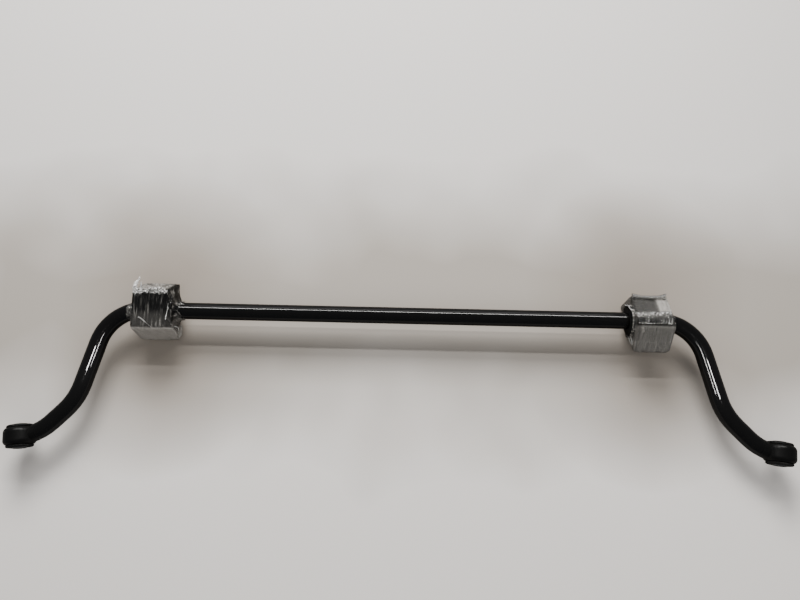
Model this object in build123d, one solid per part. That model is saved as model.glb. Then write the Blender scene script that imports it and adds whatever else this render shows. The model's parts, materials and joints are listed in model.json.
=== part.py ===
from build123d import *
import os

# A sway bar: a bent spring-steel bar with an eye at each end, carried in two split rubber bushings.
# Lengths are in millimetres and angles in degrees. The middle of the straight torsion section is
# the origin, X runs along that section, the arms lie flat and reach towards -Y, and Z is up.

# Torsion bar
BAR_R = 12.0
HALF_STRAIGHT = 372.0
# From the straight section outwards: bend radius, turn towards the reach, and the straight run after it
ARM_BENDS = [(61.0, 78.0, 63.0), (77.0, -31.0, 22.0), (62.0, -39.0, 3.0)]
EYE_R = 20.5
EYE_HEIGHT = 25.0
EYE_EDGE_R = 7.0
SPOT_FACE_R = 17.5
SPOT_FACE_DEPTH = 10.0

# Link bush in each eye: a rubber ring between two steel sleeves, with a lip over each face of the eye
OUTER_SLEEVE_R = 15.0
OUTER_SLEEVE_WALL = 1.5
INNER_SLEEVE_R = 9.0
LINK_BOLT_R = 6.1
INNER_SLEEVE_LENGTH = 33.0
LIP_R = 17.0
LIP_THICK = 2.6
LIP_EDGE_R = 2.0
RUNNING_GAP = 0.05

# Mounting block: a flat-topped rubber bushing in a stamped bracket with two ears.
# In its own frame a block is centred on the bar, with its base down and its outboard end towards +X.
BLOCK_X = 356.0
LEFT_TURN = 9.0
RIGHT_TURN = -25.0
BASE_Z = -17.2
BRACKET_THICK = 3.0
BRACKET_HALF_LENGTH = 21.0
BRACKET_TOP = 23.0
BRACKET_HALF_WIDTH = 25.8
STRAP_CORNER_R = 7.0
EAR_BEND_R = 4.0
EAR_HALF_WIDTH = 39.4
EAR_CORNER_R = 6.0
BOLT_Y = 33.5
BOLT_HOLE_R = 3.3
BUSHING_HALF_LENGTH = 24.5
FLANGE_THICK = 3.5
FLANGE_EDGE_R = 1.2
COLLAR_R = 22.5
COLLAR_LENGTH = 5.5
COLLAR_EDGE_R = 2.5
SLIT_WIDTH = 0.8
LEAD_IN_LENGTH = 9.5
LEAD_IN_DEPTH = 1.5

# Film wound round each block
FILM_THICK = 0.4
FILM_GAP = 0.3
FILM_HALF_LENGTH = 25.4
FILM_BAR_HOLE_R = 14.0
FILM_COLLAR_HOLE_R = 23.0
FILM_BOLT_HOLE_R = 5.5
EAR_FILM_RISE = 4.0


def arm_path():
    """Centreline of the arm on the +X side, from the straight section to the middle of its eye."""
    place, heading = Vector(HALF_STRAIGHT, 0), Vector(1, 0)
    edges = []
    for radius, turn, run in ARM_BENDS:
        bend = JernArc(start=place, tangent=heading, radius=radius, arc_size=-turn)
        place, heading = bend @ 1, bend % 1
        after = Line(place, place + heading * run)
        place = after @ 1
        edges += [bend, after]
    return edges


def eye_plane():
    """Plane at the middle of the +X eye, with Z along the eye's axis and pointing away from the bar."""
    end = arm_path()[-1]
    return Plane(origin=end @ 1, z_dir=(end % 1).rotate(Axis.Z, -90))


def tube(outer_r, inner_r, length):
    """Plain tube centred on the origin, along Z."""
    return Cylinder(outer_r, length) - Cylinder(inner_r, length)


def torsion_bar():
    """The whole bent bar with both eyes, one solid."""
    path = Wire([Line((0, 0), (HALF_STRAIGHT, 0)).edge()] + [part.edge() for part in arm_path()])
    half_bar = sweep(Plane.YZ * Circle(BAR_R), path=path)
    barrel = Cylinder(EYE_R, EYE_HEIGHT)
    rims = barrel.edges().filter_by(GeomType.CIRCLE)
    barrel = eye_plane() * fillet(rims, EYE_EDGE_R)
    half = half_bar + barrel - eye_plane() * Cylinder(OUTER_SLEEVE_R, EYE_HEIGHT * 2)
    spot_face = Cylinder(SPOT_FACE_R, SPOT_FACE_DEPTH, align=(Align.CENTER, Align.CENTER, Align.MIN))
    spot_face = Pos(0, 0, EYE_HEIGHT / 2) * spot_face
    half = half - eye_plane() * spot_face - eye_plane() * mirror(spot_face, Plane.XY)
    return half + Rot(Y=180) * half


def link_outer_sleeve():
    return tube(OUTER_SLEEVE_R, OUTER_SLEEVE_R - OUTER_SLEEVE_WALL, EYE_HEIGHT)


def link_rubber():
    """Rubber ring with a rounded lip over each face of the eye."""
    ring = Cylinder(OUTER_SLEEVE_R - OUTER_SLEEVE_WALL, EYE_HEIGHT)
    lip = Cylinder(LIP_R, LIP_THICK, align=(Align.CENTER, Align.CENTER, Align.MIN))
    lip = fillet(lip.edges().filter_by(GeomType.CIRCLE).sort_by(Axis.Z)[-1], LIP_EDGE_R)
    lip = Pos(0, 0, EYE_HEIGHT / 2) * lip
    return ring + lip + mirror(lip, Plane.XY) - Cylinder(INNER_SLEEVE_R + RUNNING_GAP, EYE_HEIGHT * 2)


def link_inner_sleeve():
    sleeve = tube(INNER_SLEEVE_R, LINK_BOLT_R, INNER_SLEEVE_LENGTH)
    outer_rims = sleeve.edges().filter_by(lambda e: e.geom_type == GeomType.CIRCLE and e.radius > LINK_BOLT_R)
    return chamfer(outer_rims, 0.6)


def block_section(half_width, top, corner_r):
    """Cross-section of the bushing: flat base, straight sides and a flat top with round corners."""
    height = top - BASE_Z
    outline = Pos(0, BASE_Z + height / 2) * Rectangle(half_width * 2, height)
    outline = fillet(outline.vertices().group_by(Axis.Y)[-1], corner_r)
    return Plane.YZ * outline


def bushing():
    """Split rubber bushing: flat-topped and flanged, with a round inboard collar cut flat at the base."""
    half_width = BRACKET_HALF_WIDTH - BRACKET_THICK
    middle = block_section(half_width, BRACKET_TOP - BRACKET_THICK, STRAP_CORNER_R - BRACKET_THICK)
    rubber = extrude(middle, amount=BUSHING_HALF_LENGTH, both=True)
    flange = extrude(block_section(BRACKET_HALF_WIDTH, BRACKET_TOP, STRAP_CORNER_R), amount=FLANGE_THICK)
    flange = fillet(flange.faces().sort_by(Axis.X)[-1].edges(), FLANGE_EDGE_R)
    flange = Pos(BUSHING_HALF_LENGTH - FLANGE_THICK, 0, 0) * flange
    rubber += flange + mirror(flange, Plane.YZ)
    collar = Cylinder(COLLAR_R, COLLAR_LENGTH, align=(Align.CENTER, Align.CENTER, Align.MIN))
    collar = fillet(collar.edges().filter_by(GeomType.CIRCLE).sort_by(Axis.Z)[-1], COLLAR_EDGE_R)
    collar = Pos(-BUSHING_HALF_LENGTH, 0, 0) * Rot(Y=-90) * collar
    rubber += split(collar, bisect_by=Plane.XY.offset(BASE_Z), keep=Keep.TOP)
    bore_r = BAR_R + RUNNING_GAP
    rubber -= Rot(Y=90) * Cylinder(bore_r, BUSHING_HALF_LENGTH * 4)
    lead_in = Rot(Y=90) * Cone(bore_r, bore_r + LEAD_IN_DEPTH, LEAD_IN_LENGTH)
    rubber -= Pos(BUSHING_HALF_LENGTH - LEAD_IN_LENGTH / 2, 0, 0) * lead_in
    slit_size = BRACKET_HALF_WIDTH * 2
    slit = Box(slit_size * 2, slit_size, SLIT_WIDTH, align=(Align.CENTER, Align.MIN, Align.CENTER))
    return rubber - slit


def bracket():
    """Stamped strap over the bushing, with an ear and a bolt hole on each side of the base."""
    half_thick = BRACKET_THICK / 2
    ear_z, leg_y, top_z = BASE_Z + half_thick, BRACKET_HALF_WIDTH - half_thick, BRACKET_TOP - half_thick
    one_side = [(EAR_HALF_WIDTH, ear_z), (leg_y, ear_z), (leg_y, top_z)]
    other_side = [(-y, z) for y, z in reversed(one_side)]
    corner_r = STRAP_CORNER_R - half_thick
    middle_line = FilletPolyline(one_side + other_side, radius=[EAR_BEND_R, corner_r, corner_r, EAR_BEND_R])
    strap = extrude(Plane.YZ * trace(middle_line, BRACKET_THICK), amount=BRACKET_HALF_LENGTH, both=True)
    ear_corners = [e for e in strap.edges().filter_by(Axis.Z) if abs(e.center().Y) > EAR_HALF_WIDTH - 1]
    strap = fillet(ear_corners, EAR_CORNER_R)
    for side in (-1, 1):
        strap -= Pos(0, side * BOLT_Y, BASE_Z) * Cylinder(BOLT_HOLE_R, BRACKET_THICK * 4)
    return strap


def film_section(shrink):
    """Outline that film takes when it is stretched from the strap's top corners down to the ears."""
    stand_off = FILM_GAP + FILM_THICK - shrink
    top = BRACKET_TOP + stand_off
    shoulder = BRACKET_HALF_WIDTH + stand_off
    ear_tip = EAR_HALF_WIDTH + stand_off
    ear_top = BASE_Z + EAR_FILM_RISE + stand_off
    base = BASE_Z - stand_off
    one_side = [(ear_tip, base), (ear_tip, ear_top), (shoulder, top)]
    other_side = [(-y, z) for y, z in reversed(one_side)]
    radii = [1.0, 1.5, STRAP_CORNER_R, STRAP_CORNER_R, 1.5, 1.0]
    return Plane.YZ * make_face(FilletPolyline(one_side + other_side, radius=radii, close=True))


def film_wrap():
    """Thin closed wrap round one block, open where the bar passes through and over the bolt holes."""
    skin = extrude(film_section(0), amount=FILM_HALF_LENGTH, both=True)
    skin -= extrude(film_section(FILM_THICK), amount=FILM_HALF_LENGTH - FILM_THICK, both=True)
    skin -= Rot(Y=90) * Cylinder(FILM_BAR_HOLE_R, FILM_HALF_LENGTH * 4)
    skin -= Pos(-FILM_HALF_LENGTH, 0, 0) * Rot(Y=90) * Cylinder(FILM_COLLAR_HOLE_R, FILM_THICK * 4)
    for side in (-1, 1):
        skin -= Pos(0, side * BOLT_Y, 0) * Cylinder(FILM_BOLT_HOLE_R, BRACKET_TOP * 4)
    return skin


def save(name, solid):
    solid.label = name
    export_step(solid, f"parts/{name}.step")


def main():
    os.makedirs("parts", exist_ok=True)
    save("torsion_bar", torsion_bar())
    link_bush = {
        "link_outer_sleeve": link_outer_sleeve(),
        "link_rubber": link_rubber(),
        "link_inner_sleeve": link_inner_sleeve(),
    }
    for name, solid in link_bush.items():
        right = eye_plane() * solid
        save(f"right_{name}", right)
        save(f"left_{name}", mirror(right, Plane.YZ))
    block = {"bushing": bushing(), "bracket": bracket(), "film_wrap": film_wrap()}
    for name, solid in block.items():
        save(f"right_{name}", Pos(BLOCK_X, 0, 0) * Rot(X=RIGHT_TURN) * solid)
        save(f"left_{name}", Pos(-BLOCK_X, 0, 0) * Rot(X=LEFT_TURN) * mirror(solid, Plane.YZ))


main()
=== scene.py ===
import json
import math

import bpy
from mathutils import Matrix, Vector, noise

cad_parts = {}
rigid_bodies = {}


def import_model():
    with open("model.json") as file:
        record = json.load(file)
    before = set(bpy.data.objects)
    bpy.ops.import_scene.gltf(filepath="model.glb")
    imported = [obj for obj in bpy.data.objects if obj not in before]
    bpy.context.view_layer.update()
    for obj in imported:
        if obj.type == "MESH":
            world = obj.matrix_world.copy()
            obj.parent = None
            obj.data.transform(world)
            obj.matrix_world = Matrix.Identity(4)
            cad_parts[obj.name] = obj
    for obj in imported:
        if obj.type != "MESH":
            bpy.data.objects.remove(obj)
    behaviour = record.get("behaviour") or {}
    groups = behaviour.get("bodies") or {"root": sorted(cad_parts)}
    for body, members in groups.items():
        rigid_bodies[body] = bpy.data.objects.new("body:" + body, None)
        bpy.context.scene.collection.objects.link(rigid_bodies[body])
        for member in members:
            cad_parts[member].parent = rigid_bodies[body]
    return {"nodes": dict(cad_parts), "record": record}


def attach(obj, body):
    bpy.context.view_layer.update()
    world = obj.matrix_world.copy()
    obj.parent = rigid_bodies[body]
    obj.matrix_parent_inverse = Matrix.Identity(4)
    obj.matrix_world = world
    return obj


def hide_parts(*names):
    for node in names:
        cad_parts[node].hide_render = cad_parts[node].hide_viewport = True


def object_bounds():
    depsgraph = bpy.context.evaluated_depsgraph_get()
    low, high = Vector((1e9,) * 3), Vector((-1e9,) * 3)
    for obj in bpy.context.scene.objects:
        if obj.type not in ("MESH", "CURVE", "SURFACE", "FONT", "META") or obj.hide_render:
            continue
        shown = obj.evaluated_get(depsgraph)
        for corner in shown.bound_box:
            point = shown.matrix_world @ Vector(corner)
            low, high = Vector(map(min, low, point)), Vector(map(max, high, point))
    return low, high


# A sway bar on a pale studio floor: the CAD solids with their finishes, and stretch film round each of
# its two mounting blocks. A block's own frame and the film are in millimetres, and the rest in metres.

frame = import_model()
cad_low, cad_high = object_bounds()
MM = 0.001
SIDES = {"left": -1, "right": 1}
MOUNTS = {mount["name"]: mount for mount in frame["record"]["mounts"]}

# Film, in millimetres: how far it stands off the bracket, its thickness, how far it passes the bushing's
# end, how high it rises at an ear's tip, and its corner radii at the base, the ear and the shoulder
FILM_STAND_OFF = 0.8
FILM_THICK = 0.12
FILM_END_GAP = 0.9
EAR_FILM_RISE = 4.0
BASE_CORNER_R = 1.2
EAR_CORNER_R = 1.8
SHOULDER_R = 7.0
# Fineness of the film's meshes: steps round a block and round each corner, and a ruffle's pitch
OUTLINE_STEPS = 340
CORNER_STEPS = 10
RUFFLE_ROW = 0.33
RUFFLE_COLUMN = 0.30

# The bar's radius, and where along it the arm starts its first bend and that bend's radius, in millimetres
BAR_R = MOUNTS["bar_middle"]["dims"]["r_mm"]
ARM_BEND_START = 372.0
ARM_BEND_R = 61.0
# Distance of each block from the middle, in metres
BLOCK_X = abs(MOUNTS["left_bracket_bolts"]["pos_m"][0])

# Floor's half-width and where it fades to the room, in metres, and the room beyond it as the camera sees it
FLOOR_REACH = 3.0
FLOOR_FADE = (1.2, 2.8)
ROOM_COLOR = (0.60, 0.585, 0.57, 1)
ROOM_STRENGTH = 2.0
# The dim light that the room itself gives
ROOM_LIGHT_COLOR = (0.9, 0.93, 1.0, 1)
ROOM_LIGHT = 0.07

LAMP_COLOR = (1.0, 0.985, 0.96)
# Tubes over each arm: distance out along X, height and width in metres, and power in watts
ARM_TUBES = [(0.410, 0.11, 0.009, 0.011), (0.370, 0.07, 0.003, 0.004)]
# Where the tubes start and end along Y, how far they lean outboard on the way, and the point they face
ARM_TUBE_START = -0.054
ARM_TUBE_ENDS = {"left": -0.092, "right": -0.114}
ARM_TUBE_LEAN = 0.21
ARM_TUBE_AIM = (0.43, -0.085, 0)
ARM_TUBE_SPREAD = math.radians(56)
# Small lamps that only the loose film sees, as offsets from each block in metres
GLINTS = {
    "left": [(0.22, -0.05, 0.85), (-0.70, -0.10, 0.50), (-0.25, 0.60, 0.60), (-0.3, -0.6, 0.5)],
    "right": [(-0.20, 0.75, 0.45), (0.70, 0.55, 0.25), (0.30, 0.25, 0.80), (0.3, -0.6, 0.5)],
}
GLINT_SIZE = (0.06, 0.06)
GLINT_POWER = 1.0

# Camera: where it is in metres, where it looks, which way is up, and its lens in millimetres
CAMERA_PLACE = (0.0026, -0.2211, 0.8550)
CAMERA_LOOKS = (-0.00585, 0.27519, -0.96137)
CAMERA_UP = (-0.0221, 0.96112, 0.27525)
CAMERA_LENS = 27.45


# ---------------------------------------------------------------- materials

class Shader:
    """A node material under construction."""

    def __init__(self, name):
        self.material = bpy.data.materials.new(name)
        self.material.use_nodes = True
        self.tree = self.material.node_tree
        self.tree.nodes.clear()
        self.place = self.add("ShaderNodeTexCoord").outputs["Object"]

    def add(self, kind, inputs=None, **settings):
        """Adds a node. An input is another node's output or a plain value."""
        made = self.tree.nodes.new(kind)
        for key, value in settings.items():
            setattr(made, key, value)
        for key, value in (inputs or {}).items():
            if isinstance(value, bpy.types.NodeSocket):
                self.tree.links.new(value, made.inputs[key])
            else:
                made.inputs[key].default_value = value
        return made

    def noise(self, size_mm, detail=4.0, stretch=(1, 1, 1), roughness=0.55):
        """Noise from 0 to 1 whose features are about size_mm across, longer where stretch is above 1."""
        scale = [1 / (size_mm * MM * part) for part in stretch]
        moved = self.add("ShaderNodeMapping", {"Vector": self.place, "Scale": scale})
        inputs = {"Vector": moved.outputs["Vector"], "Scale": 1.0, "Detail": detail, "Roughness": roughness}
        return self.add("ShaderNodeTexNoise", inputs).outputs["Fac"]

    def span(self, value, low, high, to_low=0.0, to_high=1.0):
        """Maps value from low..high to to_low..to_high, and holds it at the ends."""
        inputs = {"Value": value, "From Min": low, "From Max": high, "To Min": to_low, "To Max": to_high}
        return self.add("ShaderNodeMapRange", inputs).outputs["Result"]

    def math(self, operation, a, b=0.0):
        return self.add("ShaderNodeMath", {0: a, 1: b}, operation=operation).outputs["Value"]

    def distance_to(self, place):
        """Distance to place, or to its mirror images in the frame's planes, whichever is nearest."""
        one_side = self.add("ShaderNodeVectorMath", {0: self.place}, operation="ABSOLUTE").outputs["Vector"]
        apart = self.add("ShaderNodeVectorMath", {0: one_side, 1: place}, operation="DISTANCE")
        return apart.outputs["Value"]

    def mix_color(self, factor, a, b):
        made = self.add("ShaderNodeMix", {"Factor": factor}, data_type="RGBA")
        for key, value in ((6, a), (7, b)):
            if isinstance(value, bpy.types.NodeSocket):
                self.tree.links.new(value, made.inputs[key])
            else:
                made.inputs[key].default_value = (*value, 1.0)
        return made.outputs[2]

    def bump(self, height, depth_mm, strength=1.0, under=None):
        """Normal for a relief depth_mm deep, laid over the normal under."""
        inputs = {"Height": height, "Distance": depth_mm * MM, "Strength": strength}
        if under is not None:
            inputs["Normal"] = under
        return self.add("ShaderNodeBump", inputs).outputs["Normal"]

    def principled(self, **inputs):
        """Principled surface, with inputs named as in base_color or specular_ior_level."""
        named = {}
        for key, value in inputs.items():
            named[key.replace("_", " ").title().replace("Ior", "IOR")] = value
        return self.add("ShaderNodeBsdfPrincipled", named).outputs["BSDF"]

    def finish(self, surface):
        self.add("ShaderNodeOutputMaterial", {"Surface": surface})
        return self.material


def gloss_black_paint():
    """Thick glossy enamel: faint orange peel, uneven gloss, a little dust, and duller on the forged eyes."""
    sh = Shader("gloss_black_paint")
    eye_x, eye_y, eye_z = MOUNTS["right_link_bore"]["pos_m"]
    eye = sh.span(sh.distance_to((eye_x, -eye_y, eye_z)), 0.022, 0.040, 1.0, 0.0)
    peel = sh.noise(3.0, detail=2.0)
    waviness = sh.noise(28.0, detail=1.0)
    dust = sh.span(sh.noise(0.9, detail=3.0), 0.70, 0.80)
    film_of_dust = sh.span(sh.noise(45.0), 0.45, 0.75, 0.0, 0.25)
    dusty = sh.math("MULTIPLY", dust, film_of_dust)
    color = sh.mix_color(dusty, (0.0035, 0.0034, 0.0033), (0.07, 0.066, 0.06))
    gloss = sh.span(sh.noise(14.0, detail=5.0), 0.35, 0.75, 0.07, 0.16)
    rough = sh.math("ADD", gloss, sh.math("MULTIPLY", dusty, 0.5))
    rough = sh.math("ADD", rough, sh.math("MULTIPLY", eye, 0.28))
    coat = sh.math("SUBTRACT", 0.6, sh.math("MULTIPLY", eye, 0.6))
    normal = sh.bump(waviness, 0.25, 0.35, sh.bump(peel, 0.02, 0.35))
    return sh.finish(sh.principled(base_color=color, roughness=rough, normal=normal, coat_weight=coat,
                                   coat_roughness=0.04, specular_ior_level=0.5))


def satin_black_coating():
    """Dipped coating on pressed steel: satin, slightly mottled, thin and greyer in places."""
    sh = Shader("satin_black_coating")
    mottle = sh.span(sh.noise(9.0, detail=6.0), 0.3, 0.7)
    color = sh.mix_color(mottle, (0.010, 0.010, 0.011), (0.030, 0.030, 0.032))
    rough = sh.span(sh.noise(4.0, detail=4.0), 0.3, 0.7, 0.34, 0.5)
    normal = sh.bump(sh.noise(1.2, detail=3.0), 0.03, 0.5)
    return sh.finish(sh.principled(base_color=color, roughness=rough, normal=normal, metallic=0.2))


def moulded_rubber(name, tone, bloom):
    """Moulded rubber: matte, finely grained, with a greyish bloom."""
    sh = Shader(name)
    patches = sh.span(sh.noise(11.0, detail=6.0), 0.45, 0.75, 0.0, 0.8)
    color = sh.mix_color(patches, (tone, tone, tone), (bloom, bloom * 0.97, bloom * 0.93))
    rough = sh.span(sh.noise(6.0), 0.3, 0.7, 0.55, 0.75)
    grain = sh.bump(sh.noise(0.5, detail=3.0), 0.03, 0.6)
    normal = sh.bump(sh.noise(5.0, detail=2.0), 0.12, 0.4, grain)
    surface = sh.principled(base_color=color, roughness=rough, normal=normal, specular_ior_level=0.35)
    return sh.finish(surface)


def zinc_plated_steel():
    """Turned and plated tube: ring marks, pale grey with a dull yellow-blue cast."""
    sh = Shader("zinc_plated_steel")
    rings = sh.noise(0.6, detail=2.0, stretch=(14, 1, 14))
    cast = sh.span(sh.noise(8.0, detail=4.0), 0.35, 0.65)
    color = sh.mix_color(cast, (0.50, 0.50, 0.47), (0.42, 0.44, 0.47))
    rough = sh.span(rings, 0.3, 0.7, 0.24, 0.42)
    normal = sh.bump(rings, 0.03, 0.4)
    return sh.finish(sh.principled(base_color=color, roughness=rough, normal=normal, metallic=1.0))


def stretch_film(name, tint=(0.92, 0.88, 0.83), shine_rough=0.10):
    """Clear stretch film in a few turns.

    The mesh says, at each point, how milky the film is (haze), how much it is pulled into fine pleats
    (pleats), whose milky lines are partly painted highlight streaks, and its place on the unrolled film in
    millimetres (wrap), so that pleats run round the block.
    """
    sh = Shader(name)
    haze = sh.add("ShaderNodeAttribute", attribute_name="haze").outputs["Fac"]
    sh.place = sh.add("ShaderNodeAttribute", attribute_name="wrap").outputs["Vector"]
    streak = sh.noise(1.3 / MM, detail=3.0, stretch=(1, 8, 1))
    crinkle = sh.noise(2.2 / MM, detail=4.0)
    normal = sh.bump(crinkle, 0.5, 0.5, sh.bump(streak, 0.6, 0.8))
    # Fine milky lines along the pleats: partly film whitened where it is drawn, partly painted highlight
    # streaks standing in for the sheen on its wrinkles
    pleat_lines_and_sheen = sh.span(sh.noise(2.6 / MM, detail=2.0, stretch=(1, 11, 1)), 0.575, 0.64, 0.0, 0.14)
    patches = sh.span(sh.noise(9.0 / MM, detail=2.0, stretch=(1, 2, 1)), 0.40, 0.58, 0.15, 1.0)
    pleats = sh.add("ShaderNodeAttribute", attribute_name="pleats").outputs["Fac"]
    drawn = sh.math("MULTIPLY", sh.math("MULTIPLY", pleat_lines_and_sheen, patches), pleats)
    cloudy = sh.math("MULTIPLY", haze, sh.span(crinkle, 0.3, 0.7, 0.8, 1.2))
    milky = sh.math("ADD", cloudy, drawn)
    milky = sh.add("ShaderNodeClamp", {"Value": milky, "Max": 0.95}).outputs["Result"]
    tone = sh.span(sh.noise(14.0 / MM, detail=2.0), 0.35, 0.65)
    color = sh.mix_color(tone, (tint[0] * 0.93, tint[1] * 0.94, tint[2] * 0.93), tint)
    front = sh.add("ShaderNodeBsdfDiffuse", {"Color": color, "Normal": normal})
    through = sh.add("ShaderNodeBsdfTranslucent", {"Color": color, "Normal": normal})
    cloud = sh.add("ShaderNodeMixShader", {0: 0.18, 1: front.outputs["BSDF"], 2: through.outputs["BSDF"]})
    clear = sh.add("ShaderNodeBsdfTransparent", {"Color": (0.94, 0.94, 0.93, 1)})
    body = sh.add("ShaderNodeMixShader", {0: milky, 1: clear.outputs["BSDF"], 2: cloud.outputs["Shader"]})
    mirror = {"Color": (1, 1, 1, 1), "Roughness": shine_rough, "Normal": normal}
    shine = sh.add("ShaderNodeBsdfGlossy", mirror)
    edge = sh.add("ShaderNodeFresnel", {"IOR": 1.45, "Normal": normal}).outputs["Fac"]
    whole = sh.add("ShaderNodeMixShader", {0: edge, 1: body.outputs["Shader"], 2: shine.outputs["BSDF"]})
    return sh.finish(whole.outputs["Shader"])


def pale_backdrop():
    """Matte studio paper, warm pale grey, with painted light and shade: darker in a painted shade band along
    the bar, painted lighter on the near side, and a painted shadow beside each block.

    It is dim in the paint's gloss, and far out the camera sees it fade to the room.
    """
    sh = Shader("pale_backdrop")
    along, across = sh.add("ShaderNodeSeparateXYZ", {"Vector": sh.place}).outputs[:2]
    # Painted shade: the floor is darker in a band along the bar and lighter away from it, standing in for
    # uneven light
    patchy = sh.math("MULTIPLY", sh.span(sh.noise(220.0, detail=2.0), 0.3, 0.7), 0.08)
    away = sh.math("ABSOLUTE", sh.math("SUBTRACT", across, 0.02))
    away = sh.math("MAXIMUM", away, sh.math("SUBTRACT", sh.math("ABSOLUTE", along), 0.55))
    far = sh.span(sh.math("ADD", away, patchy), 0.10, 0.29)
    # Painted light: the floor is lighter on the near side, where the lamps' light falls off
    near_side_painted_light = sh.span(across, -0.12, 0.08, 1.0, 0.0)
    painted_outer_tone = sh.mix_color(near_side_painted_light, (0.80, 0.775, 0.755), (0.92, 0.885, 0.855))
    color = sh.mix_color(far, (0.446, 0.409, 0.367), painted_outer_tone)
    # Painted shadow: a darker, warmer patch on the floor beside each block
    painted_shadow_centre = (BLOCK_X, 0.07, abs(cad_low.z))
    painted_block_shadow = sh.span(sh.distance_to(painted_shadow_centre), 0.03, 0.17, 0.75, 0.0)
    color = sh.mix_color(painted_block_shadow, color, (0.316, 0.274, 0.233))
    gloss_ray = sh.add("ShaderNodeLightPath").outputs["Is Glossy Ray"]
    color = sh.mix_color(sh.math("MULTIPLY", gloss_ray, 0.85), color, (0.0, 0.0, 0.0))
    normal = sh.bump(sh.noise(2.0), 0.1, 0.2)
    paper = sh.principled(base_color=color, roughness=0.85, normal=normal, specular_ior_level=0.2)
    distance = sh.add("ShaderNodeVectorMath", {0: sh.place}, operation="LENGTH").outputs["Value"]
    camera_ray = sh.add("ShaderNodeLightPath").outputs["Is Camera Ray"]
    fade = sh.math("MULTIPLY", sh.span(distance, *FLOOR_FADE), camera_ray)
    room = sh.add("ShaderNodeEmission", {"Color": ROOM_COLOR, "Strength": ROOM_STRENGTH})
    whole = sh.add("ShaderNodeMixShader", {0: fade, 1: paper, 2: room.outputs["Emission"]})
    return sh.finish(whole.outputs["Shader"])


def dress_cad_nodes():
    """Gives every CAD node its finish."""
    finishes = {
        "bar_paint": gloss_black_paint(),
        "bracket_paint": satin_black_coating(),
        "bushing_rubber": moulded_rubber("bushing_rubber", tone=0.006, bloom=0.014),
        "bush_rubber": moulded_rubber("bush_rubber", tone=0.008, bloom=0.022),
        "bush_steel": zinc_plated_steel(),
        "packing_film": stretch_film("plain_film"),
    }
    for part in frame["record"]["subparts"]:
        node = frame["nodes"][part["node"]]
        node.data.materials.clear()
        node.data.materials.append(finishes[part["material_slot"]])


# ---------------------------------------------------------------- film wraps

class Block:
    """One mounting block's own frame, in millimetres.

    s runs outboard along the bar, y and z across it, and the base is down.
    """

    def __init__(self, side):
        self.side = side
        self.sign = SIDES[side]
        mount = MOUNTS[f"{side}_bracket_bolts"]
        self.middle = abs(mount["pos_m"][0]) / MM
        away = mount["axis"]
        self.turn = math.atan2(away[1], -away[2])
        low, high = self.local_box(f"{side}_bracket")
        self.ear, self.base, self.top = high.y, low.z, high.z
        low, high = self.local_box(f"{side}_bushing")
        self.half_width = high.y
        self.outboard = high.x
        self.collar_end = low.x
        # Radius of the film where it just clears the round collar
        self.collar_r = self.top
        self.film_end = self.outboard + FILM_END_GAP

    def world(self, s, y, z):
        """Row-frame place, in metres, of a point given in the block's frame."""
        c, n = math.cos(self.turn), math.sin(self.turn)
        x = self.sign * (self.middle + s)
        return Vector((x, y * c - z * n, y * n + z * c)) * MM

    def local(self, place):
        """The block-frame point, in millimetres, of a row-frame place in metres."""
        c, n = math.cos(self.turn), math.sin(self.turn)
        x, y, z = place / MM
        return Vector((self.sign * x - self.middle, y * c + z * n, z * c - y * n))

    def local_box(self, node):
        points = [self.local(v.co) for v in frame["nodes"][node].data.vertices]
        low = Vector(min(p[i] for p in points) for i in range(3))
        high = Vector(max(p[i] for p in points) for i in range(3))
        return low, high


def smooth(value, low, high):
    """0 below low, 1 above high, and a soft step between them."""
    t = min(1.0, max(0.0, (value - low) / (high - low)))
    return t * t * (3 - 2 * t)


def speckled(a, b, seed, low, high):
    """Soft-edged specks, from 0 to 1, about one unit across."""
    return smooth(noise.noise(Vector((a, b, seed))), low, high)


def crumple(a, b, seed, size):
    """Crumpled height from 0 to 1 over a sheet, with sharp folds about size apart and finer ones between."""
    total, weight = 0.0, 1.0
    for octave in range(3):
        pitch = size / 2 ** octave
        value = noise.noise(Vector((a / pitch, b / pitch, seed + 3.7 * octave)))
        total += weight * (1 - 2.4 * abs(value))
        weight *= 0.5
    return max(0.0, min(1.0, total / 1.75))


def between(stations, t):
    """Linear interpolation in a list of number tuples whose first number is the place along t."""
    for a, b in zip(stations, stations[1:]):
        if t <= b[0]:
            share = (t - a[0]) / (b[0] - a[0])
            return [x + (y - x) * share for x, y in zip(a[1:], b[1:])]
    return list(stations[-1][1:])


def sheet(name, rows, columns, point, material, body, closed=False):
    """Thin film piece from point(i, j), which gives place, haze, pleats and place on the unrolled film."""
    vertices, haze, pleats, wrap = [], [], [], []
    strips = columns if closed else columns - 1
    for i in range(rows):
        for j in range(columns):
            place, milky, pleated, unrolled = point(i / (rows - 1), j / strips)
            vertices.append(tuple(place))
            haze.append(milky)
            pleats.append(pleated)
            wrap.extend(unrolled)
    faces = []
    for i in range(rows - 1):
        for j in range(strips):
            a, b = i * columns + j, i * columns + (j + 1) % columns
            faces.append((a, b, b + columns, a + columns))
    mesh = bpy.data.meshes.new(name)
    mesh.from_pydata(vertices, [], faces)
    mesh.attributes.new("haze", "FLOAT", "POINT").data.foreach_set("value", haze)
    mesh.attributes.new("pleats", "FLOAT", "POINT").data.foreach_set("value", pleats)
    mesh.attributes.new("wrap", "FLOAT_VECTOR", "POINT").data.foreach_set("vector", wrap)
    mesh.polygons.foreach_set("use_smooth", [True] * len(mesh.polygons))
    mesh.materials.append(material)
    piece = bpy.data.objects.new(name, mesh)
    bpy.context.scene.collection.objects.link(piece)
    skin = piece.modifiers.new("thickness", "SOLIDIFY")
    skin.thickness = FILM_THICK * MM
    skin.offset = 0
    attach(piece, body)
    return piece


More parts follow.
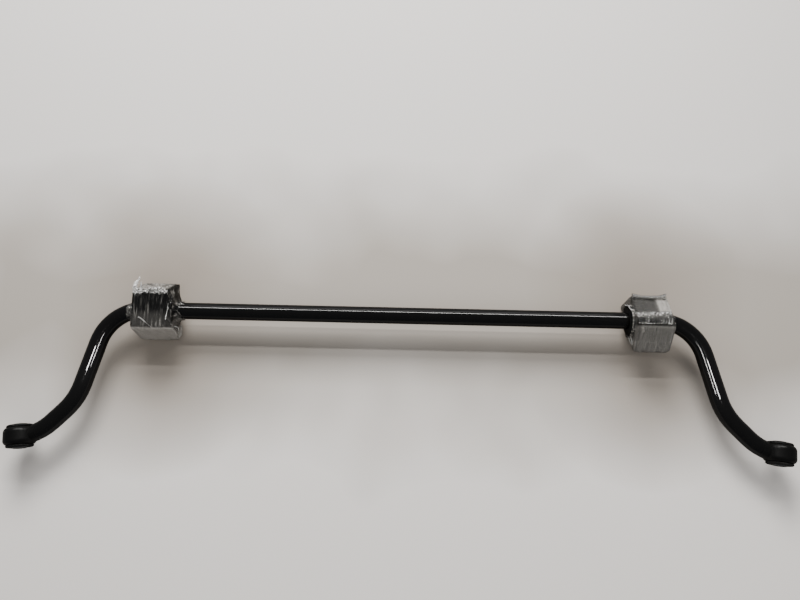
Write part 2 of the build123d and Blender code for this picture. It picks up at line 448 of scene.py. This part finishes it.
class Outline:
    """The closed line that film takes round a block: over the shoulders, out to the ears, under the base."""

    def __init__(self, block, grow=0.0):
        off = FILM_STAND_OFF + grow
        ear, base = block.ear + off, block.base - off
        shoulder = (block.half_width + off, block.top + off, SHOULDER_R)
        side = [(ear, base, BASE_CORNER_R), (ear, base + EAR_FILM_RISE, EAR_CORNER_R), shoulder]
        corners = side + [(-y, z, r) for y, z, r in reversed(side)]
        self.points = []
        for i, corner in enumerate(corners):
            self.points += self.round_corner(corners[i - 1], corner, corners[(i + 1) % len(corners)])
        self.lengths = [0.0]
        for a, b in zip(self.points, self.points[1:] + self.points[:1]):
            self.lengths.append(self.lengths[-1] + (b - a).length)

    @staticmethod
    def round_corner(before, corner, after):
        """Points along the arc that rounds a corner, each corner being (y, z, radius)."""
        here = Vector(corner[:2])
        to_before = (Vector(before[:2]) - here).normalized()
        to_after = (Vector(after[:2]) - here).normalized()
        half = to_before.angle(to_after) / 2
        centre = here + (to_before + to_after).normalized() * (corner[2] / math.sin(half))
        reach = corner[2] / math.tan(half)
        start, end = here + to_before * reach - centre, here + to_after * reach - centre
        shares = [k / CORNER_STEPS for k in range(CORNER_STEPS + 1)]
        return [centre + start.lerp(end, share).normalized() * corner[2] for share in shares]

    def at(self, share):
        """Place and outward direction at a share of the way round."""
        want = (share % 1.0) * self.lengths[-1]
        low, high = 0, len(self.points)
        while high - low > 1:
            middle = (low + high) // 2
            if self.lengths[middle] <= want:
                low = middle
            else:
                high = middle
        a, b = self.points[low], self.points[(low + 1) % len(self.points)]
        length = self.lengths[low + 1] - self.lengths[low]
        along = (b - a).normalized()
        place = a.lerp(b, (want - self.lengths[low]) / max(length, 1e-9))
        out = Vector((along.y, -along.x))
        return place, (out if out.dot(place) > 0 else -out)


def wrap_layer(block, name, material, haze_of, path, seed, rows, wrinkle, grow=0.0, droop=0.0, ragged=0.0):
    """One turn of film round a block, wrinkled about wrinkle high and lying grow outside the first turn.

    Its path says how it runs along the bar, as stations (share of the rows, s, how far it is drawn in to
    a ring round the bar, that ring's radius). Its inboard end stands out by droop over the near ear,
    and that end's rim is uneven by ragged.
    """
    outline = Outline(block, grow)
    length = outline.lengths[-1]

    def point(i, j):
        s, drawn, ring_r = between(path, i)
        place, out = outline.at(j)
        u = j * length
        pleat = crumple(s, u / 9, seed, 3.0)
        fold = crumple(s + 0.3 * u, u / 3, seed + 5, 9.0)
        lift = wrinkle * (0.6 * pleat + 0.6 * fold) * (1 - drawn)
        angle = math.atan2(place.y, place.x)
        gather = crumple(angle * 14, s, seed + 9, 4.0)
        ring = place.normalized() * (ring_r + 1.3 * gather * drawn)
        along = s + 0.5 * (gather - 0.5) * drawn
        along += ragged * (1 - crumple(angle * 10, 0, seed + 11, 7.0)) * (1 - smooth(i, 0, 0.08))
        near_ear = smooth(-place.x, 10, 24) * (1 - 0.45 * smooth(-place.x, 33, 40))
        along -= droop * smooth(-s, block.film_end - 7, block.film_end) * near_ear * (1 - drawn)
        spot = (place + out * lift).lerp(ring, drawn)
        unrolled = (0.6 * u, 25 * drawn, seed + 3) if drawn > 0 else (s, u, seed)
        milky, pleats = haze_of(s, place, out, pleat, fold, drawn)
        return block.world(along, spot.x, spot.y), milky, pleats, unrolled

    return sheet(name, rows, OUTLINE_STEPS, point, material, f"{block.side}_mount", closed=True)


def left_haze(s, place, out, pleat, fold, drawn):
    """Haze and pleats of the left wrap: clear over the strap's top and inboard end, milky down the sides.

    In place and out, x is the block's y and y is its z.
    """
    side = 1.0 - smooth(out.y, 0.55, 0.95)
    far = side * smooth(place.x, 0, 5) * smooth(s, -23, -19) * (0.35 + 1.1 * fold)
    near = side * (1 - smooth(place.x, -5, 0))
    front = smooth(-place.x, 0, 6) * 0.014
    low = smooth(-place.x, 3, 12) * (1 - side) * 0.016
    # A thin milky line where the film leaves the near shoulder
    edge = smooth(1.2 - abs(place.x + 27), 0, 1) * 0.22
    ridge = smooth(pleat, 0.94, 1.0) * 0.05 + smooth(fold, 0.97, 1.0) * 0.06
    # Milky flecks where the end is drawn in
    speckle = 0.20 * smooth(drawn, 0.05, 0.4) * smooth(0.5 * pleat + 0.5 * fold, 0.55, 0.75)
    base = front + low + 0.50 * near + 0.36 * far + edge
    haze = base * (1 - 0.8 * drawn) + speckle + ridge * (1 - side) * (1 - 0.6 * drawn) + 0.002
    return haze, 1 - 0.85 * side * (1 - drawn)


def right_haze(s, place, out, pleat, fold, drawn):
    """Haze and pleats of the right wrap: clear over the top's near edge, milky at its far outboard corner.

    In place and out, x is the block's y and y is its z.
    """
    top = smooth(out.y, 0.55, 0.95)
    clear = top * smooth(-place.x, 14, 16.5)
    corner = top * smooth(s, 5, 11) * smooth(place.x, -6, 0)
    far = (1 - top) * smooth(place.x, 0, 5) * smooth(s, -23, -19) * (0.35 + 1.1 * fold)
    # A fold line half-way down the near side
    crease = (1 - top) * smooth(1.2 - abs(place.y + 1.0), 0, 1.2) * 0.10
    base = (0.036 + 0.130 * (1 - top)) * (1 - clear) + 0.32 * max(corner, far) + crease
    ridge = smooth(pleat, 0.93, 1.0) * 0.04 + smooth(fold, 0.96, 1.0) * 0.05
    pleats = 0.45 + 0.75 * (1 - top) + 3.0 * drawn * smooth(-place.x, 5, 20)
    return base * (1 - 0.3 * drawn) + ridge * (0.3 + 0.7 * top), pleats


def ruffle(block, name, material, seed, s_range, y_range, height, haze, lean=0.0):
    """Crumpled band of loose film along the strap's top, with ragged edges and a slant of lean."""
    (s_low, s_high), (y_low, y_high) = s_range, y_range
    z = block.top + FILM_STAND_OFF + 1.0

    def point(i, j):
        s = s_low + (s_high - s_low) * i
        ragged = 0.75 + 0.6 * (crumple(s, 0, seed + 6, 4.0) - 0.5)
        across = y_low + (y_high - y_low) * (0.5 + (j - 0.5) * ragged) + lean * (s - s_low)
        bulge = math.sin(math.pi * j) * smooth(i, 0, 0.04) * smooth(1 - i, 0, 0.04)
        big = crumple(s, across, seed, 4.4)
        fine = crumple(s, across * 0.6, seed + 4, 2.0)
        up = height * (0.15 + 0.9 * big + 0.45 * fine) * bulge
        shift = 1.8 * (crumple(s, across, seed + 8, 4.0) - 0.5)
        speckle = speckled(s / 1.3, across / 1.7, seed + 4, -0.02, 0.16)
        milky = haze * (0.06 + 0.94 * speckle)
        return block.world(s + shift, across + shift, z + up - 0.8), milky, 0.3, (s, across, seed)

    rows = int((s_high - s_low) / RUFFLE_ROW)
    columns = int((y_high - y_low) / RUFFLE_COLUMN)
    return sheet(name, rows, columns, point, material, f"{block.side}_mount")


def strand(block, name, material, seed, path, width, haze):
    """Narrow twisted ribbon of film along a path of (s, y, z) points in the block's frame."""
    points = [Vector(p) for p in path]

    def point(i, j):
        at = i * (len(points) - 1)
        k = min(int(at), len(points) - 2)
        centre = points[k].lerp(points[k + 1], at - k)
        along = (points[k + 1] - points[k]).normalized()
        side = along.cross(Vector((0.3, 0.5, 1))).normalized()
        other = along.cross(side)
        turn = seed + 5.0 * i + 2.2 * (j - 0.5) + 1.5 * crumple(i * 26, 0, seed + 5, 3.0)
        taper = 1.0 - 0.75 * i
        reach = width * (j - 0.5) * taper * (0.5 + 1.0 * crumple(i * 30, j * 5, seed, 2.2))
        spot = centre + (side * math.cos(turn) + other * math.sin(turn)) * reach
        milky = haze * (0.25 + 0.75 * smooth(crumple(i * 34, j * 6, seed + 2, 2.4), 0.30, 0.55))
        return block.world(spot.x, spot.y, spot.z), milky, 0.3, (i * 30, j * width, seed)

    return sheet(name, 60, 12, point, material, f"{block.side}_mount")


def rolled_edge(block, name, material, seed, s_range, radius, turns, haze):
    """The film's loose end rolled up along the strap's far shoulder: flared at its ends, sagging between."""
    s_low, s_high = s_range
    y, z = block.half_width - 2.2, block.top + FILM_STAND_OFF + 1.2

    def point(i, j):
        s = s_low + (s_high - s_low) * i
        flare = 1 + 0.55 * smooth(i, 0.84, 1.0) + 0.35 * (1 - smooth(i, 0.0, 0.08))
        flare -= 0.18 * math.sin(math.pi * i)
        dent = 0.75 + 0.4 * crumple(s, j * 26, seed, 8.0)
        angle = 2 * math.pi * turns * j - 0.6
        r = radius * flare * dent * (1 - 0.55 * j)
        sag = 2.6 * math.sin(math.pi * i) + 1.5 * (crumple(s, 0, seed + 7, 12.0) - 0.5)
        along = s + 1.2 * (crumple(j * 30, 0, seed + 3, 6.0) - 0.5)
        edge = smooth(abs(j - 0.5), 0.44, 0.5)
        milky = haze + 0.12 * smooth(crumple(s, j * 30, seed + 1, 3.5), 0.45, 0.7) + 0.2 * edge
        place = block.world(along, y - sag + r * math.cos(angle), z + radius + r * math.sin(angle))
        return place, milky, 0.5, (s, j * 30, seed)

    return sheet(name, 120, 90, point, material, f"{block.side}_mount")


def arm_tail(block, name, material, seed, s_range, haze):
    """Scraps of film clinging to the arm just past the block, riding on the bar."""
    s_low, s_high = s_range
    bend_r, bend_start = ARM_BEND_R, ARM_BEND_START - block.middle

    def point(i, j):
        s = s_low + (s_high - s_low) * i
        angle = 2 * math.pi * j
        into = max(0.0, s - bend_start)
        drop = bend_r - math.sqrt(bend_r ** 2 - into ** 2)
        fold = crumple(s, angle * 9, seed, 5.0)
        ragged = 2.5 * (crumple(angle * 6, 0, seed + 6, 2.0) - 0.5) * smooth(i, 0.5, 1.0)
        r = BAR_R + 0.25 + 0.9 * fold * (0.3 + 0.7 * math.sin(math.pi * i))
        place = Vector((s + ragged, r * math.cos(angle) - drop, r * math.sin(angle)))
        x = block.sign * (block.middle + place.x)
        return Vector((x, place.y, place.z)) * MM, haze * (0.3 + 0.9 * fold), 0.6, (s, angle * 12, seed)

    return sheet(name, 24, 90, point, material, "bar", closed=True)


def collar_scrap(block, name, material, seed, haze):
    """Crumpled film clinging round the bushing's collar, flat under its base."""
    s_low, s_high = block.collar_end - 0.4, -block.film_end - 0.2

    def point(i, j):
        s = s_low + (s_high - s_low) * i
        angle = 2 * math.pi * j
        round_it = angle * block.collar_r
        fold = crumple(s, round_it, seed, 5.0)
        speckle = speckled(s / 2.4, round_it / 1.8, seed + 4, 0.24, 0.40)
        r = block.collar_r + 0.3 + 1.8 * fold * math.sin(math.pi * i)
        z = max(r * math.sin(angle), block.base - FILM_STAND_OFF)
        milky = haze * (0.03 + 0.97 * speckle)
        return block.world(s, r * math.cos(angle), z), milky, 0.0, (s, round_it, seed)

    return sheet(name, 16, 300, point, material, f"{block.side}_mount", closed=True)


def outboard_stations(block):
    """How a block's under layer closes in on the bar past the bushing's outboard end."""
    end = block.film_end
    return [
        (0.90, end, 0, BAR_R + 4.0),
        (0.94, end + 1.0, 0.6, BAR_R + 3.2),
        (1.00, end + 4.0, 1, BAR_R + 2.6),
    ]


def strands(block, name, material, first_seed, paths, width, haze):
    """Several strands of one kind, numbered from 1."""
    for k, path in enumerate(paths):
        strand(block, f"{name}_{k + 1}", material, first_seed + k, path, width, haze)


def wrap_left(block, film, loose):
    """Drawn tight: the strap shows black through its top, and the ends are gathered in to the bar."""
    end, rim = block.film_end, block.collar_end
    inboard = [
        (0.00, rim - 13.0, 1, BAR_R + 0.8),
        (0.08, rim - 4.0, 1, BAR_R + 1.4),
        (0.12, rim - 0.9, 1, block.collar_r - 2.5),
        (0.16, rim - 0.2, 1, block.collar_r + 0.2),
        (0.24, -end - 2.0, 0.5, block.collar_r + 0.5),
        (0.28, -end, 0, block.collar_r),
    ]
    stations = inboard + outboard_stations(block)
    under = wrap_layer(block, "left_film_under", film, left_haze, stations, seed=12, rows=190, wrinkle=0.7,
                       droop=8.0, ragged=9.0)
    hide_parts("left_film_wrap")
    band = [(0.0, -20.0, 0, 20), (1.0, 22.5, 0, 20)]
    wrap_layer(block, "left_film_over", film, left_haze, band, seed=24, rows=110, wrinkle=0.8, grow=0.9)
    shoulder = block.half_width
    ruffle_y, crest_y = (shoulder - 5.5, shoulder + 2.5), (shoulder - 2.5, shoulder + 5.5)
    ruffle(block, "left_film_ruffle", loose, seed=3, s_range=(-24, 25), y_range=ruffle_y, height=3.4, haze=1)
    ruffle(block, "left_film_crest", loose, seed=31, s_range=(-18, 1), y_range=crest_y, height=5.5, haze=0.9)
    top = block.top + 1.5
    spike = [(18, 21, top), (18, 29, top + 4), (16, 36, top + 7), (14, 44, top + 7)]
    strand(block, "left_film_spike", loose, 1, spike, width=13.0, haze=1.5)
    low_spike = [(13, 22, top), (13, 30, top + 4), (11, 37, top + 5)]
    strand(block, "left_film_spike_low", loose, 4, low_spike, width=10.0, haze=1.3)
    tie = [(14, -12, top), (5, -19, top + 0.5), (-6, -27, top - 1)]
    strand(block, "left_film_tie", loose, 2, tie, width=2.6, haze=1.0)
    webs = [
        [(-26, 9, 11), (-34, 9, 10), (-43, 9, 9.5)],
        [(-24.5, -15, top + 0.5), (-26.5, 8, top + 0.5)],
        [(-26, 2, top), (-29, -6, 19), (-33, -14, 6)],
        [(-27, -20, 12), (-34, -25, -2), (-31, -33, -10)],
    ]
    strands(block, "left_film_web", loose, 21, webs, width=1.8, haze=1.2)
    arm_tail(block, "left_film_tail", film, seed=7, s_range=(end + 5.0, end + 12.0), haze=0.07)


def wrap_right(block, film, loose):
    """Looser: milky over most of the block, rolled up along the far shoulder, with scraps on the collar."""
    end = block.film_end
    inboard = [
        (0.00, -end - 1.0, 1, block.collar_r + 0.4),
        (0.04, -end - 0.6, 0.8, block.collar_r + 0.6),
        (0.10, -end, 0, block.collar_r),
    ]
    stations = inboard + outboard_stations(block)
    under = wrap_layer(block, "right_film_under", film, right_haze, stations, seed=41, rows=160, wrinkle=0.9)
    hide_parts("right_film_wrap")
    band = [(0.0, -23.0, 0, 20), (1.0, 21.5, 0, 20)]
    wrap_layer(block, "right_film_over", film, right_haze, band, seed=53, rows=110, wrinkle=1.0, grow=1.2)
    ruffle(block, "right_film_ruffle", loose, seed=9, s_range=(-25, 25), y_range=(-14.0, -2.5), height=2.4,
           haze=1.0, lean=0.06)
    rolled_edge(block, "right_film_roll", loose, seed=5, s_range=(-25.5, 22), radius=3, turns=1.6, haze=0.02)
    top = block.top + 1.6
    ties = []
    for s in (-17.0, -13.5, 7.0, 11.0, 15.0, 19.0):
        ties.append([(s, -24, top + 0.3), (s + 2.6, -19, top + 0.6), (s + 4.0, -14, top + 0.3)])
    strands(block, "right_film_tie", loose, 11, ties, width=1.3, haze=1.2)
    webs = [
        [(-27, -20, -10), (-26.6, -27, -12), (-26.2, -33, -13)],
        [(-29, -16, -14), (-27.5, -23, -15), (-26.2, -30, -16)],
        [(-28, 14, 18), (-31.5, 8, 21.5), (-30, -2, 23.5)],
        [(-30, 21, 9), (-32, 17, 15), (-30, 10, 21)],
    ]
    strands(block, "right_film_web", loose, 31, webs, width=2.2, haze=1.2)
    collar_scrap(block, "right_film_collar", film, seed=61, haze=0.7)
    arm_tail(block, "right_film_tail", film, seed=8, s_range=(end + 5.0, end + 9.0), haze=0.03)


# ---------------------------------------------------------------- stage

def make_stage():
    """A pale floor that the lowest parts rest on."""
    reach, z = FLOOR_REACH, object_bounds()[0].z
    mesh = bpy.data.meshes.new("floor")
    corners = [(-reach, -reach, z), (reach, -reach, z), (reach, reach, z), (-reach, reach, z)]
    mesh.from_pydata(corners, [], [(0, 1, 2, 3)])
    mesh.materials.append(pale_backdrop())
    floor = bpy.data.objects.new("floor", mesh)
    bpy.context.scene.collection.objects.link(floor)


def area_light(name, place, aim, size, power, in_gloss=True, along=(1, 0, 0), only=None):
    """Rectangular lamp at place that faces aim, its first side along the given direction.

    It shows in glossy surfaces or not, and lights everything or only the objects of one collection.
    """
    data = bpy.data.lights.new(name, "AREA")
    data.shape = "RECTANGLE"
    data.size, data.size_y = size
    data.energy = power
    data.color = LAMP_COLOR
    light = bpy.data.objects.new(name, data)
    light.location = place
    back = (Vector(place) - Vector(aim)).normalized()
    across = back.cross(Vector(along)).normalized()
    first = across.cross(back)
    light.rotation_mode = "QUATERNION"
    light.rotation_quaternion = Matrix((first, across, back)).transposed().to_quaternion()
    light.visible_glossy = in_gloss
    light.visible_camera = False
    if only is not None:
        light.light_linking.receiver_collection = only
    bpy.context.scene.collection.objects.link(light)
    return light


def make_lamps():
    """Soft light from beyond the bar, a fill, and a tube and a panel that draw the gloss along the bar.

    Small lamps light only the arms' paint or only the loose film.
    """
    bar_only = bpy.data.collections.new("bar_only")
    bar_only.objects.link(frame["nodes"]["torsion_bar"])
    area_light("key", place=(-0.3, 1.95, 1.40), aim=(0, -0.05, 0), size=(1.3, 0.8), power=80, in_gloss=False)
    area_light("fill", place=(0.4, -1.0, 2.2), aim=(0, -0.1, 0), size=(2.4, 2.4), power=28, in_gloss=False)
    area_light("far_tube", place=(0, 0.92, 1.18), aim=(0, 0, 0), size=(1.9, 0.06), power=13.5)
    area_light("far_panel", place=(0, 1.9, 1.0), aim=(0, 0, 0), size=(2.1, 1.0), power=4.1, only=bar_only)
    for side in SIDES:
        arm_tubes(side, bar_only)
    loose_film = bpy.data.collections.new("loose_film")
    for piece in bpy.context.scene.collection.objects:
        if "_film_" in piece.name and not piece.name.endswith(("under", "over")):
            loose_film.objects.link(piece)
    for side, places in GLINTS.items():
        block = Vector((SIDES[side] * BLOCK_X, 0, 0))
        for k, away in enumerate(places):
            place = block + Vector(away)
            area_light(f"glint_{side}_{k + 1}", place, block, GLINT_SIZE, GLINT_POWER, only=loose_film)


def arm_tubes(side, bar_only):
    """Small close tubes that draw the streaks on one arm; the blocks hide them from the straight section."""
    sign, end_y = SIDES[side], ARM_TUBE_ENDS[side]
    aim_x, aim_y, aim_z = ARM_TUBE_AIM
    for k, (x, z, width, power) in enumerate(ARM_TUBES):
        near = Vector((sign * x, ARM_TUBE_START, z))
        far = Vector((sign * (x - ARM_TUBE_LEAN * (end_y - ARM_TUBE_START)), end_y, z))
        size = ((far - near).length, width)
        aim = (sign * aim_x, aim_y, aim_z)
        name = f"arm_tube_{side}_{k + 1}"
        tube = area_light(name, (near + far) / 2, aim, size, power, along=far - near, only=bar_only)
        tube.data.spread = ARM_TUBE_SPREAD


def make_world():
    """Dim cool room light, and a pale room where the camera looks past the floor."""
    world = bpy.data.worlds.new("studio")
    bpy.context.scene.world = world
    world.use_nodes = True
    tree = world.node_tree
    tree.nodes.clear()
    path = tree.nodes.new("ShaderNodeLightPath")
    mix = tree.nodes.new("ShaderNodeMixShader")
    tree.links.new(path.outputs["Is Camera Ray"], mix.inputs[0])
    for slot, color, strength in ((1, ROOM_LIGHT_COLOR, ROOM_LIGHT), (2, ROOM_COLOR, ROOM_STRENGTH)):
        background = tree.nodes.new("ShaderNodeBackground")
        background.inputs["Color"].default_value = color
        background.inputs["Strength"].default_value = strength
        tree.links.new(background.outputs["Background"], mix.inputs[slot])
    out = tree.nodes.new("ShaderNodeOutputWorld")
    tree.links.new(mix.outputs["Shader"], out.inputs["Surface"])


def make_camera():
    """Looks down on the flat-lying bar from a little towards the arms' ends."""
    data = bpy.data.cameras.new("camera")
    data.sensor_width = 36.0
    data.lens = CAMERA_LENS
    data.clip_start, data.clip_end = 0.05, 50
    camera = bpy.data.objects.new("camera", data)
    camera.location = CAMERA_PLACE
    forward = Vector(CAMERA_LOOKS).normalized()
    right = forward.cross(Vector(CAMERA_UP).normalized()).normalized()
    up = right.cross(forward)
    camera.rotation_mode = "QUATERNION"
    camera.rotation_quaternion = Matrix((right, up, -forward)).transposed().to_quaternion()
    bpy.context.scene.collection.objects.link(camera)
    bpy.context.scene.camera = camera


dress_cad_nodes()
film = stretch_film("stretch_film")
loose = stretch_film("loose_film", tint=(0.95, 0.94, 0.93), shine_rough=0.22)
wrap_left(Block("left"), film, loose)
wrap_right(Block("right"), film, loose)
make_stage()
make_lamps()
make_world()
make_camera()
